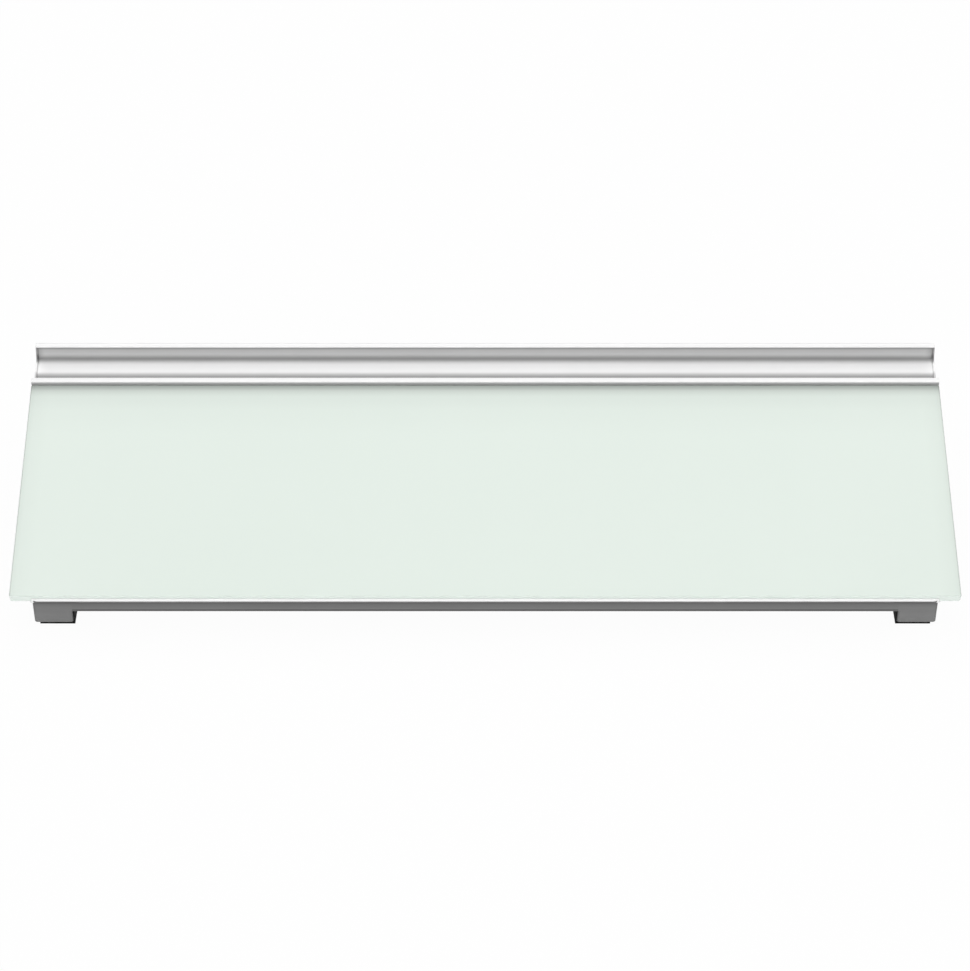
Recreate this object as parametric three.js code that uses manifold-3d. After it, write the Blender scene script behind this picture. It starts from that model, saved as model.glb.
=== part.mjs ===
// Desktop glass whiteboard: a sloped glass writing pane on a white top shell with a pen tray,
// a grey base shell on four rubber-shod feet, and a storage drawer that slides out at the right end.
// Millimetres. X runs to the right, Y to the back, Z up. The origin is on the desk, under the middle.

import * as THREE from 'three';
import { mergeVertices } from 'three/addons/utils/BufferGeometryUtils.js';
import Module from 'manifold-3d';

const wasm = await Module();
wasm.setup();

// Fits shared by all pieces
const seatGap = 0.3;
const bondGap = 0.15;
const cutOverrun = 2;

// Glass pane
const glassWidth = 457.2;
const glassLength = 124;
const glassThickness = 4.8;
const glassCornerRadius = 2;
const glassEdgeBevel = 0.4;
const glassFrontHeight = 26.4;
const tiltDegrees = 16.7;

// Double-sided tape strips under the glass
const tapeEndInset = 28.6;
const tapeWidth = 12;
const tapeThickness = 0.8;
const tapePlaceShares = [0.1, 0.5, 0.9];

// Top shell: bed under the glass, ridge, pen tray and rear rim
const bedThickness = 2.2;
const bedCornerRadius = 2.5;
const lipReach = 0.4;
const lipDrop = 1.85;
const lipFaceHeight = 1.25;
const lipCornerCover = 0.15;
const noseThickness = 0.6;
const shelfReach = 6;
const ridgeRise = 1.75;
const ridgeWidth = 3.9;
const ridgeEdgeRadius = 0.8;
const trayWidth = 18.6;
const trayDepth = 7.6;
const trayFrontCove = 4;
const trayRearCove = 2.5;
const trayWallLean = 0.9;
const trayFloorThickness = 2.4;
const trayEndRadius = 1;
const trayEndThickness = 1.2;
const trayEndRise = 1.4;
const rimWidth = 3.6;
const rimEdgeRadius = 1.2;
const rimBeadReach = 1;
const rimBeadHeight = 0.9;

// Base shell
const sideOverhang = 8.7;
const frontOverhang = 9.3;
const rearOverhang = 9.2;
const deskClearance = 8.2;
const baseWall = 2.6;
const baseFloorThickness = 2.5;
const baseCornerRadius = 1.5;
const revealHeight = 1;
const revealDepth = 0.9;
const revealLift = 2.9;
const bulkheadThickness = 2.4;
const bulkheadHeight = 18;

// Feet and their rubber boots
const footWidth = 19.3;
const footDepth = 26;
const bootThickness = 1.1;
const bootSideThickness = 0.5;
const bootOuterSetback = 2.7;

// Screws that hold the top shell, from below
const screwHeadRadius = 3;
const screwHeadHeight = 2;
const screwShankRadius = 1.4;
const screwLength = 9;
const screwSeatThickness = 4;
const screwInset = 11;
const postRadius = 4.6;
const bossLength = 6;

// Drawer
const drawerLength = 210.5;
const drawerWidth = 70;
const drawerWall = 1.8;
const drawerRearClearance = 7;
const drawerHeldLength = 20.5;
const drawerFrontThickness = 4;
const drawerFrontGap = 0.6;
const mouthBeamHeight = 1.8;
const stopTabRise = 3.2;
const stopTabLength = 3;
const stopTabClearance = 0.5;
const dividerThickness = 1.6;
const dividerDrop = 3;
const penBayWidth = 26;
const crossDividerShare = 0.55;

// Finger pull on the drawer front
const pullWidth = 54;
const pullReach = 6;
const pullThickness = 2.6;
const pullLift = 3.2;
const pullEdgeRadius = 5;

// Drawer runners and end bumpers
const runnerFootWidth = 6;
const runnerFootHeight = 1.5;
const runnerFlangeThickness = 1.5;
const runnerFlangeHeight = 7;
const runnerSideGap = 0.4;
const bumperRadius = 4;
const bumperLength = 3.5;
const bumperSpacing = 40;

// Screws that hold the drawer front to the drawer
const frontScrewHeadRadius = 2.6;
const frontScrewHeadHeight = 1.6;
const frontScrewShankRadius = 1.1;
const frontScrewBite = 2.6;
const frontScrewSpacing = 48;

// How finely round shapes are divided
const cornerSteps = 5;
const roundSides = 28;
const filletReachShare = 0.8;

// Slope of the writing surface
const tilt = THREE.MathUtils.degToRad(tiltDegrees);
const tiltSine = Math.sin(tilt);
const tiltCosine = Math.cos(tilt);
const tiltTangent = Math.tan(tilt);

// Stations from front to back, with the whole depth centred on the origin
const paneRun = (glassLength + seatGap) * tiltCosine;
const overallDepth = lipReach + paneRun + ridgeWidth + trayWidth + rimWidth;
const lipFrontY = -overallDepth / 2;
const glassFrontY = lipFrontY + lipReach;
const ridgeFrontY = glassFrontY + paneRun;
const ridgeBackY = ridgeFrontY + ridgeWidth;
const rimFrontY = ridgeBackY + trayWidth;
const rimBackY = rimFrontY + rimWidth;
const baseFrontY = glassFrontY + frontOverhang;
const baseBackY = rimBackY - rearOverhang;

// Height of the plane that lies a given depth under the writing surface
const planeHeight = (y, depth) => glassFrontHeight + (y - glassFrontY) * tiltTangent - depth / tiltCosine;

// Depths under the writing surface, and levels above the desk
const bedTopDepth = glassThickness + seatGap;
const bedUnderDepth = bedTopDepth + bedThickness;
const tapeGrooveDepth = glassThickness + bondGap + tapeThickness + bondGap;
const trayUnderDepth = trayDepth + trayFloorThickness;
const ridgeTopZ = planeHeight(ridgeFrontY, 0) + ridgeRise;
const rimTopZ = planeHeight(rimBackY, 0);
const baseFloorZ = deskClearance + baseFloorThickness;
const revealBottomZ = baseFloorZ + revealLift;
const revealTopZ = revealBottomZ + revealHeight;

// Half widths
const glassHalf = glassWidth / 2;
const baseHalf = glassHalf - sideOverhang;
const tapeHalf = glassHalf - tapeEndInset;
const innerHalf = baseHalf - baseWall;
const footInnerX = baseHalf - footWidth;

// Drawer stations: it slides along X, its front panel flush with the base's right side, and at full
// travel its rear end stays in the base
const drawerTravel = drawerLength - drawerHeldLength;
const panelOuterX = baseHalf;
const panelInnerX = panelOuterX - drawerFrontThickness;
const drawerRearX = panelInnerX - drawerLength;
const drawerBackY = baseBackY - baseWall - postRadius * 2 - drawerRearClearance + runnerSideGap;
const drawerFrontY = drawerBackY - drawerWidth;
const drawerMiddleY = (drawerBackY + drawerFrontY) / 2;
const mouthFrontY = drawerFrontY - drawerFrontGap * 2;
const mouthBackY = drawerBackY + drawerFrontGap * 2;
const mouthTopZ = planeHeight(mouthFrontY, bedUnderDepth + seatGap) - mouthBeamHeight;
const drawerBottomZ = baseFloorZ + runnerFootHeight + seatGap;
const drawerTopZ = mouthTopZ - drawerFrontGap * 2;
const drawerFloorTopZ = drawerBottomZ + drawerWall;
const bulkheadX = drawerRearX - seatGap - bumperLength;
const longDividerY = drawerFrontY + drawerWall + penBayWidth;
const dividerTopZ = drawerTopZ - dividerDrop;

// Materials
const glassWhite = new THREE.MeshStandardMaterial({ color: 0xe5efe7, roughness: 0.06, metalness: 0 });
const tapeGrey = new THREE.MeshStandardMaterial({ color: 0xd8d8d4, roughness: 0.9, metalness: 0 });
const shellWhite = new THREE.MeshStandardMaterial({ color: 0xf6f7f6, roughness: 0.35, metalness: 0 });
const baseGrey = new THREE.MeshStandardMaterial({ color: 0x868888, roughness: 0.5, metalness: 0 });
const bootBlack = new THREE.MeshStandardMaterial({ color: 0x1c1c1c, roughness: 0.85, metalness: 0 });
const screwSteel = new THREE.MeshStandardMaterial({ color: 0xb8babc, roughness: 0.35, metalness: 1 });
const runnerWhite = new THREE.MeshStandardMaterial({ color: 0xe9e9e4, roughness: 0.45, metalness: 0 });

const whiteboard = new THREE.Group();

// Solids from geometries, and geometries from solids
function toSolid(geometry) {
  const bare = geometry.clone();
  bare.deleteAttribute('normal');
  bare.deleteAttribute('uv');
  const welded = mergeVertices(bare);
  const vertProperties = new Float32Array(welded.attributes.position.array);
  const triVerts = new Uint32Array(welded.index.array);
  return new wasm.Manifold(new wasm.Mesh({ numProp: 3, vertProperties, triVerts }));
}

function toGeometry(solid) {
  const { vertProperties, triVerts } = solid.getMesh();
  const geometry = new THREE.BufferGeometry();
  geometry.setAttribute('position', new THREE.BufferAttribute(vertProperties, 3));
  geometry.setIndex(new THREE.BufferAttribute(triVerts, 1));
  geometry.computeVertexNormals();
  return geometry;
}

function addPiece(name, geometry, material, parent = whiteboard) {
  const piece = new THREE.Mesh(geometry, material);
  piece.name = name;
  parent.add(piece);
  return piece;
}

function addSolid(name, solid, material) {
  return addPiece(name, toGeometry(solid), material);
}

// Closed outline through corners [x, y, radius], each rounded inwards or outwards
function roundedOutline(corners) {
  const points = [];
  corners.forEach(([x, y, radius], index) => {
    const corner = new THREE.Vector2(x, y);
    const before = new THREE.Vector2(...corners.at(index - 1));
    const after = new THREE.Vector2(...corners.at((index + 1) % corners.length));
    if (!radius) {
      points.push(corner);
      return;
    }
    const reach = Math.min(corner.distanceTo(before), corner.distanceTo(after)) * filletReachShare;
    const toBefore = before.sub(corner).normalize();
    const toAfter = after.sub(corner).normalize();
    const halfAngle = Math.acos(toBefore.dot(toAfter)) / 2;
    const tangent = Math.min(radius / Math.tan(halfAngle), reach);
    const usedRadius = tangent * Math.tan(halfAngle);
    const start = corner.clone().addScaledVector(toBefore, tangent);
    const end = corner.clone().addScaledVector(toAfter, tangent);
    const towards = toBefore.clone().add(toAfter).normalize();
    const centre = corner.clone().addScaledVector(towards, usedRadius / Math.sin(halfAngle));
    const startAngle = start.clone().sub(centre).angle();
    const turn = end.clone().sub(centre).angle() - startAngle;
    const sweep = Math.atan2(Math.sin(turn), Math.cos(turn));
    for (let step = 0; step <= cornerSteps; step += 1) {
      const angle = startAngle + (sweep * step) / cornerSteps;
      const spoke = new THREE.Vector2(Math.cos(angle), Math.sin(angle)).multiplyScalar(usedRadius);
      points.push(spoke.add(centre));
    }
  });
  return points;
}

// Side profile in Y and Z, run across the board from one X to another
const acrossBoard = new THREE.Matrix4().makeBasis(
  new THREE.Vector3(0, 1, 0),
  new THREE.Vector3(0, 0, 1),
  new THREE.Vector3(1, 0, 0),
);

function profileAcross(corners, fromX, toX) {
  const shape = new THREE.Shape(roundedOutline(corners));
  const geometry = new THREE.ExtrudeGeometry(shape, { depth: toX - fromX, bevelEnabled: false });
  geometry.applyMatrix4(acrossBoard);
  geometry.translate(fromX, 0, 0);
  return geometry;
}

function planCorners(fromX, toX, fromY, toY, radius) {
  return [[fromX, fromY, radius], [toX, fromY, radius], [toX, toY, radius], [fromX, toY, radius]];
}

// Upright prism over a plan outline
function prism(corners, fromZ, toZ) {
  const shape = new THREE.Shape(roundedOutline(corners));
  const geometry = new THREE.ExtrudeGeometry(shape, { depth: toZ - fromZ, bevelEnabled: false });
  geometry.translate(0, 0, fromZ);
  return geometry;
}

function block(fromX, toX, fromY, toY, fromZ, toZ) {
  return prism(planCorners(fromX, toX, fromY, toY, 0), fromZ, toZ);
}

// Upright round bar
function roundBar(radius, x, y, fromZ, toZ) {
  const geometry = new THREE.CylinderGeometry(radius, radius, toZ - fromZ, roundSides);
  geometry.rotateX(Math.PI / 2);
  geometry.translate(x, y, (fromZ + toZ) / 2);
  return geometry;
}

// Six screw places: two rows, each with one screw near each end and one beside the middle
const screwEndX = footInnerX - screwInset;
const frontScrewY = baseFrontY + baseWall + postRadius * 2;
const rearScrewY = baseBackY - baseWall - postRadius * 2;
const screwMiddleX = bulkheadX - bulkheadThickness / 2;
const screwColumns = [['left', -screwEndX], ['middle', screwMiddleX], ['right', screwEndX]];
const screwRows = [['front', frontScrewY, bedUnderDepth], ['rear', rearScrewY, trayUnderDepth]];
const screwPlaces = screwRows.flatMap(([row, y, underDepth]) => screwColumns.map(([column, x]) => {
  const bossEnd = planeHeight(y, underDepth) - bossLength;
  const postTop = bossEnd - seatGap;
  const bearing = postTop - screwSeatThickness;
  return { name: `screw_${row}_${column}`, x, y, bossEnd, postTop, bearing };
}));

// Frame of the writing surface, tilted about the pane's top front edge
const slopedGroup = new THREE.Group();
slopedGroup.position.set(0, glassFrontY, glassFrontHeight);
slopedGroup.rotation.x = tilt;
whiteboard.add(slopedGroup);

// Glass pane: a flat plate with polished edges
function buildGlass() {
  const inset = glassEdgeBevel;
  const outline = planCorners(-glassHalf + inset, glassHalf - inset, inset, glassLength - inset,
    glassCornerRadius - inset);
  const geometry = new THREE.ExtrudeGeometry(new THREE.Shape(roundedOutline(outline)), {
    depth: glassThickness - inset * 2,
    bevelEnabled: true,
    bevelSize: inset,
    bevelThickness: inset,
    bevelSegments: 1,
  });
  geometry.translate(0, 0, inset - glassThickness);
  addPiece('glass_panel', geometry, glassWhite, slopedGroup);
}

// Tape strips: two near the edges of the pane and one along its middle
const tapeNames = ['glass_tape_front', 'glass_tape_middle', 'glass_tape_rear'];
const tapeStarts = tapePlaceShares.map((share) => (glassLength - tapeWidth) * share);

function buildTapes() {
  tapeNames.forEach((name, index) => {
    const start = tapeStarts[index];
    const top = -glassThickness - bondGap;
    const strip = block(-tapeHalf, tapeHalf, start, start + tapeWidth, top - tapeThickness, top);
    addPiece(name, strip, tapeGrey, slopedGroup);
  });
}

// Grooves in the bed that the tape strips lie in
function tapeGrooves() {
  return tapeStarts.map((start) => {
    const half = tapeHalf + seatGap;
    const groove = block(-half, half, start - seatGap, start + tapeWidth + seatGap, -tapeGrooveDepth, 0);
    groove.rotateX(tilt);
    groove.translate(0, glassFrontY, glassFrontHeight);
    return toSolid(groove);
  });
}

// Full-width part of the top shell: shelf behind the pane, ridge, pen tray and rear rim.
// The tray's floor runs parallel to the writing surface, and the rim's top lies in its plane.
const trayStepY = ridgeBackY - trayFloorThickness;
const shelfFrontY = ridgeFrontY - shelfReach;

const beadBottomZ = planeHeight(rimFrontY, 0) - rimBeadHeight;
const wallTopY = rimFrontY + rimBeadReach;
const wallFootY = wallTopY - trayWallLean;

function trayCorners() {
  const footY = ridgeFrontY + bedTopDepth * tiltSine;
  return [
    [ridgeFrontY, ridgeTopZ, ridgeEdgeRadius],
    [ridgeFrontY, planeHeight(ridgeFrontY, 0), 0],
    [footY, planeHeight(footY, bedTopDepth), 0],
    [shelfFrontY, planeHeight(shelfFrontY, bedTopDepth), 0],
    [shelfFrontY, planeHeight(shelfFrontY, bedUnderDepth), 0],
    [trayStepY, planeHeight(trayStepY, bedUnderDepth), 0],
    [trayStepY, planeHeight(trayStepY, trayUnderDepth), 0],
    [rimBackY, planeHeight(rimBackY, trayUnderDepth), rimEdgeRadius],
    [rimBackY, rimTopZ, rimEdgeRadius],
    [rimFrontY, planeHeight(rimFrontY, 0), 0],
    [rimFrontY, beadBottomZ, 0],
    [wallTopY, beadBottomZ, 0],
    [wallFootY, planeHeight(wallFootY, trayDepth), trayRearCove],
    [ridgeBackY, planeHeight(ridgeBackY, trayDepth), trayFrontCove],
    [ridgeBackY, ridgeTopZ, ridgeEdgeRadius],
  ];
}

// Low wall at each end of the tray that keeps pens from rolling out sideways
function trayEndCorners() {
  const buriedDepth = trayDepth + trayFloorThickness / 2;
  const buriedFrontY = ridgeBackY - trayFloorThickness / 2;
  const topDepth = trayDepth - trayEndRise;
  const turnY = wallFootY - trayEndRise;
  return [
    [buriedFrontY, planeHeight(buriedFrontY, buriedDepth), 0],
    [wallTopY, planeHeight(wallTopY, buriedDepth), 0],
    [wallTopY, beadBottomZ, 0],
    [rimFrontY, beadBottomZ, 0],
    [turnY, planeHeight(turnY, topDepth), trayRearCove],
    [ridgeBackY, planeHeight(ridgeBackY, topDepth), trayFrontCove],
    [ridgeBackY, ridgeTopZ - ridgeEdgeRadius, 0],
    [buriedFrontY, ridgeTopZ - ridgeEdgeRadius, 0],
  ];
}

// Bed under the pane, with the low lip that keeps the pane from sliding off
function bedCorners() {
  const lipTopZ = glassFrontHeight - lipDrop;
  const lipBackY = glassFrontY + lipDrop * tiltTangent - seatGap / tiltCosine;
  const cornerY = glassFrontY - seatGap * tiltCosine + bedTopDepth * tiltSine;
  const noseUnderDepth = bedTopDepth + noseThickness;
  const undercutY = cornerY + lipCornerCover;
  const backY = shelfFrontY + shelfReach / 2;
  return [
    [lipFrontY, lipTopZ - lipFaceHeight, 0],
    [undercutY, planeHeight(undercutY, noseUnderDepth), 0],
    [baseFrontY, planeHeight(baseFrontY, noseUnderDepth), 0],
    [baseFrontY, planeHeight(baseFrontY, bedUnderDepth), 0],
    [backY, planeHeight(backY, bedUnderDepth), 0],
    [backY, planeHeight(backY, bedTopDepth), 0],
    [cornerY, planeHeight(cornerY, bedTopDepth), 0],
    [lipBackY, lipTopZ, 0],
    [lipFrontY, lipTopZ, 0],
  ];
}

// Everything that lies under the middle of the bed's and the tray floor's thickness
function underShell() {
  const bedDepth = bedTopDepth + bedThickness / 2;
  const floorDepth = trayDepth + trayFloorThickness / 2;
  return toSolid(profileAcross([
    [lipFrontY, 0, 0],
    [rimBackY, 0, 0],
    [rimBackY, planeHeight(rimBackY, floorDepth), 0],
    [trayStepY, planeHeight(trayStepY, floorDepth), 0],
    [trayStepY, planeHeight(trayStepY, bedDepth), 0],
    [lipFrontY, planeHeight(lipFrontY, bedDepth), 0],
  ], -baseHalf, baseHalf));
}

function buildTopShell() {
  const trayPlan = planCorners(-glassHalf, glassHalf, shelfFrontY - cutOverrun, rimBackY, trayEndRadius);
  const bedPlan = planCorners(-baseHalf, baseHalf, lipFrontY, rimBackY, bedCornerRadius);
  const endInnerX = glassHalf - trayEndThickness;
  const tray = toSolid(profileAcross(trayCorners(), -glassHalf, glassHalf))
    .add(toSolid(profileAcross(trayEndCorners(), -glassHalf, -endInnerX)))
    .add(toSolid(profileAcross(trayEndCorners(), endInnerX, glassHalf)))
    .intersect(toSolid(prism(trayPlan, 0, rimTopZ + cutOverrun)));
  let shell = toSolid(profileAcross(bedCorners(), -baseHalf, baseHalf))
    .intersect(toSolid(prism(bedPlan, 0, rimTopZ)))
    .add(tray);
  tapeGrooves().forEach((groove) => {
    shell = shell.subtract(groove);
  });
  const rootSpace = underShell();
  screwPlaces.forEach(({ x, y, bossEnd, bearing }) => {
    const boss = toSolid(roundBar(postRadius, x, y, bossEnd, rimTopZ)).intersect(rootSpace);
    const holeTop = bearing + screwLength + seatGap;
    const hole = toSolid(roundBar(screwShankRadius + bondGap, x, y, bossEnd - cutOverrun, holeTop));
    shell = shell.add(boss).subtract(hole);
  });
  addSolid('top_shell', shell, shellWhite);
}

// Base shell: walls under the bed and tray, floor, bulkhead, feet and screw posts
function baseCorners() {
  const bedDepth = bedUnderDepth + seatGap;
  const trayUnder = trayUnderDepth + seatGap;
  const stepY = trayStepY - seatGap;
  return [
    [baseFrontY, deskClearance, 0],
    [baseBackY, deskClearance, 0],
    [baseBackY, planeHeight(baseBackY, trayUnder), 0],
    [stepY, planeHeight(stepY, trayUnder), 0],
    [stepY, planeHeight(stepY, bedDepth), 0],
    [baseFrontY, planeHeight(baseFrontY, bedDepth), 0],
  ];
}

function revealRing() {
  const outer = planCorners(-baseHalf - cutOverrun, baseHalf + cutOverrun,
    baseFrontY - cutOverrun, baseBackY + cutOverrun, 0);
  const inner = planCorners(-baseHalf + revealDepth, baseHalf - revealDepth,
    baseFrontY + revealDepth, baseBackY - revealDepth, baseCornerRadius);
  return toSolid(prism(outer, revealBottomZ, revealTopZ))
    .subtract(toSolid(prism(inner, revealBottomZ - cutOverrun, revealTopZ + cutOverrun)));
}

function footPlan(sideX, sideY) {
  const innerX = sideX * footInnerX;
  const outerX = sideX * baseHalf;
  const outerY = sideY < 0 ? baseFrontY : baseBackY;
  const innerY = outerY - sideY * footDepth;
  return planCorners(Math.min(innerX, outerX), Math.max(innerX, outerX),
    Math.min(innerY, outerY), Math.max(innerY, outerY), baseCornerRadius);
}

function buildBaseShell() {
  const basePlan = planCorners(-baseHalf, baseHalf, baseFrontY, baseBackY, baseCornerRadius);
  const cavity = block(-innerHalf, innerHalf, baseFrontY + baseWall, baseBackY - baseWall,
    baseFloorZ, rimTopZ);
  const bulkhead = block(bulkheadX - bulkheadThickness, bulkheadX, baseFrontY + baseWall / 2,
    baseBackY - baseWall / 2, baseFloorZ - baseFloorThickness / 2, baseFloorZ + bulkheadHeight);
  const outside = toSolid(profileAcross(baseCorners(), -baseHalf, baseHalf));
  const envelope = toSolid(prism(basePlan, 0, rimTopZ)).intersect(outside);
  let shell = envelope.subtract(toSolid(cavity));
  shell = shell.add(toSolid(bulkhead).intersect(envelope));
  [-1, 1].forEach((sideX) => [-1, 1].forEach((sideY) => {
    const foot = prism(footPlan(sideX, sideY), bootThickness, deskClearance + baseFloorThickness / 2);
    shell = shell.add(toSolid(foot));
  }));
  screwPlaces.forEach(({ x, y, postTop }) => {
    shell = shell.add(toSolid(roundBar(postRadius, x, y, baseFloorZ - baseFloorThickness / 2, postTop)));
  });
  screwPlaces.forEach(({ x, y, postTop, bearing }) => {
    shell = shell.subtract(toSolid(roundBar(postRadius + seatGap, x, y, postTop, rimTopZ)));
    shell = shell.subtract(toSolid(roundBar(screwHeadRadius + seatGap, x, y, 0, bearing)));
    shell = shell.subtract(toSolid(roundBar(screwShankRadius + seatGap, x, y, 0, postTop + cutOverrun)));
  });
  const mouth = block(innerHalf - cutOverrun, baseHalf + cutOverrun, mouthFrontY, mouthBackY,
    baseFloorZ, mouthTopZ);
  shell = shell.subtract(toSolid(mouth)).subtract(revealRing());
  addSolid('base_shell', shell, baseGrey);
}

// Rubber boot: a sole under the foot and a thin side that covers the foot's inner face
function buildBoots() {
  const ends = [['left', -1], ['right', 1]];
  const rows = [['front', -1], ['rear', 1]];
  rows.forEach(([rowName, sideY]) => ends.forEach(([endName, sideX]) => {
    const outerX = baseHalf - bootOuterSetback;
    const sideOuterX = footInnerX - bootSideThickness;
    const corners = [
      [sideX * outerX, 0, 0],
      [sideX * outerX, bootThickness, 0],
      [sideX * footInnerX, bootThickness, 0],
      [sideX * footInnerX, deskClearance - seatGap, 0],
      [sideX * sideOuterX, deskClearance - seatGap, 0],
      [sideX * sideOuterX, 0, 0],
    ];
    const edgeY = sideY < 0 ? baseFrontY : baseBackY;
    const fromY = Math.min(edgeY, edgeY - sideY * footDepth);
    const geometry = new THREE.ExtrudeGeometry(new THREE.Shape(roundedOutline(corners)), {
      depth: footDepth,
      bevelEnabled: false,
    });
    geometry.rotateX(Math.PI / 2);
    geometry.translate(0, fromY + footDepth, 0);
    addPiece(`foot_boot_${rowName}_${endName}`, geometry, bootBlack);
  }));
}

// Pan-head screw that points along +Z, with its bearing face at the origin
function screwGeometry(headRadius, headHeight, shankRadius, length) {
  const edge = headHeight / 3;
  const profile = [
    [0, -headHeight],
    [headRadius - edge, -headHeight],
    [headRadius, -headHeight + edge],
    [headRadius, 0],
    [shankRadius, 0],
    [shankRadius, length - shankRadius],
    [0, length],
  ];
  const geometry = new THREE.LatheGeometry(profile.map(([x, y]) => new THREE.Vector2(x, y)), roundSides);
  geometry.rotateX(Math.PI / 2);
  return geometry;
}

function buildScrews() {
  screwPlaces.forEach(({ name, x, y, bearing }) => {
    const geometry = screwGeometry(screwHeadRadius, screwHeadHeight, screwShankRadius, screwLength);
    const screw = addPiece(name, geometry, screwSteel);
    screw.position.set(x, y, bearing);
  });
}

// Drawer box, open at the top, with a tab that meets the wall over the mouth at full travel
function buildDrawerBox() {
  const tabFrontX = innerHalf - drawerTravel - stopTabClearance;
  const outer = block(drawerRearX, panelInnerX, drawerFrontY, drawerBackY, drawerBottomZ, drawerTopZ);
  const inner = block(drawerRearX + drawerWall, panelInnerX - drawerWall, drawerFrontY + drawerWall,
    drawerBackY - drawerWall, drawerFloorTopZ, drawerTopZ + cutOverrun);
  const tab = block(tabFrontX - stopTabLength, tabFrontX, drawerBackY - drawerWall, drawerBackY,
    drawerTopZ - drawerWall, drawerTopZ + stopTabRise);
  let box = toSolid(outer).subtract(toSolid(inner)).add(toSolid(tab));
  frontScrewPlaces.forEach((y) => {
    box = box.subtract(toSolid(frontScrewHole(frontScrewShankRadius + seatGap, y,
      panelInnerX - drawerWall - cutOverrun, panelInnerX + cutOverrun)));
  });
  addSolid('drawer_box', box, baseGrey);
}

// Screws through the drawer's end wall into its front panel
const frontScrewZ = (drawerFloorTopZ + drawerTopZ) / 2;
const frontScrewPlaces = [drawerMiddleY - frontScrewSpacing / 2, drawerMiddleY + frontScrewSpacing / 2];

function frontScrewHole(radius, y, fromX, toX) {
  const geometry = new THREE.CylinderGeometry(radius, radius, toX - fromX, roundSides);
  geometry.rotateZ(Math.PI / 2);
  geometry.translate((fromX + toX) / 2, y, frontScrewZ);
  return geometry;
}

function buildDrawerFront() {
  const panel = block(panelInnerX, panelOuterX, drawerFrontY - drawerFrontGap, drawerBackY + drawerFrontGap,
    baseFloorZ + drawerFrontGap, mouthTopZ - drawerFrontGap);
  const pullBottomZ = baseFloorZ + pullLift;
  const pullPlan = planCorners(panelInnerX, panelOuterX + pullReach, drawerMiddleY - pullWidth / 2,
    drawerMiddleY + pullWidth / 2, pullEdgeRadius);
  const pull = toSolid(prism(pullPlan, pullBottomZ, pullBottomZ + pullThickness));
  const pullSide = toSolid(block(panelOuterX - drawerFrontThickness / 2, panelOuterX + pullReach,
    drawerFrontY, drawerBackY, 0, drawerTopZ));
  let front = toSolid(panel).subtract(revealRing()).add(pull.intersect(pullSide));
  frontScrewPlaces.forEach((y) => {
    front = front.subtract(toSolid(frontScrewHole(frontScrewShankRadius + bondGap, y,
      panelInnerX - cutOverrun, panelInnerX + frontScrewBite + seatGap)));
  });
  addSolid('drawer_front', front, baseGrey);
}

function buildFrontScrews() {
  frontScrewPlaces.forEach((y, index) => {
    const geometry = screwGeometry(frontScrewHeadRadius, frontScrewHeadHeight, frontScrewShankRadius,
      drawerWall + frontScrewBite);
    geometry.rotateY(Math.PI / 2);
    const screw = addPiece(`drawer_screw_${index + 1}`, geometry, screwSteel);
    screw.position.set(panelInnerX - drawerWall, y, frontScrewZ);
  });
}

// Dividers that stand in the drawer
function buildDividers() {
  const longDivider = block(drawerRearX + drawerWall + seatGap, panelInnerX - drawerWall - seatGap,
    longDividerY, longDividerY + dividerThickness, drawerFloorTopZ, dividerTopZ);
  addPiece('drawer_divider_long', longDivider, runnerWhite);
  const crossX = drawerRearX + drawerLength * crossDividerShare;
  const crossDivider = block(crossX, crossX + dividerThickness, longDividerY + dividerThickness + seatGap,
    drawerBackY - drawerWall - seatGap, drawerFloorTopZ, dividerTopZ);
  addPiece('drawer_divider_cross', crossDivider, runnerWhite);
}

// Runners: angle strips on the base's floor that carry and guide the drawer
function buildRunners() {
  const fromX = bulkheadX;
  const toX = panelInnerX - seatGap;
  const rows = [['runner_front', drawerFrontY, -1], ['runner_rear', drawerBackY, 1]];
  rows.forEach(([name, drawerSideY, side]) => {
    const guideY = drawerSideY + side * runnerSideGap;
    const outerY = guideY + side * runnerFlangeThickness;
    const footY = guideY - side * runnerFootWidth;
    const footTopZ = baseFloorZ + runnerFootHeight;
    const flangeTopZ = footTopZ + runnerFlangeHeight;
    const corners = [
      [outerY, baseFloorZ, 0],
      [footY, baseFloorZ, 0],
      [footY, footTopZ, 0],
      [guideY, footTopZ, 0],
      [guideY, flangeTopZ, 0],
      [outerY, flangeTopZ, 0],
    ];
    addPiece(name, profileAcross(corners, fromX, toX), runnerWhite);
  });
}

// Rubber bumpers on the bulkhead that the closed drawer comes to rest against
function buildBumpers() {
  [-1, 1].forEach((side, index) => {
    const y = drawerMiddleY + (side * bumperSpacing) / 2;
    const geometry = new THREE.LatheGeometry([
      new THREE.Vector2(0, 0),
      new THREE.Vector2(bumperRadius, 0),
      new THREE.Vector2(bumperRadius, bumperLength / 2),
      new THREE.Vector2(bumperRadius / 2, bumperLength),
      new THREE.Vector2(0, bumperLength),
    ], roundSides);
    geometry.rotateZ(-Math.PI / 2);
    const bumper = addPiece(`drawer_bumper_${index + 1}`, geometry, bootBlack);
    bumper.position.set(bulkheadX, y, baseFloorZ + bulkheadHeight / 2);
  });
}

buildGlass();
buildTapes();
buildTopShell();
buildBaseShell();
buildBoots();
buildScrews();
buildDrawerBox();
buildDrawerFront();
buildFrontScrews();
buildDividers();
buildRunners();
buildBumpers();

export default whiteboard;
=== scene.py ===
import math

import bmesh
import bpy
from mathutils import Matrix, Vector


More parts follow.
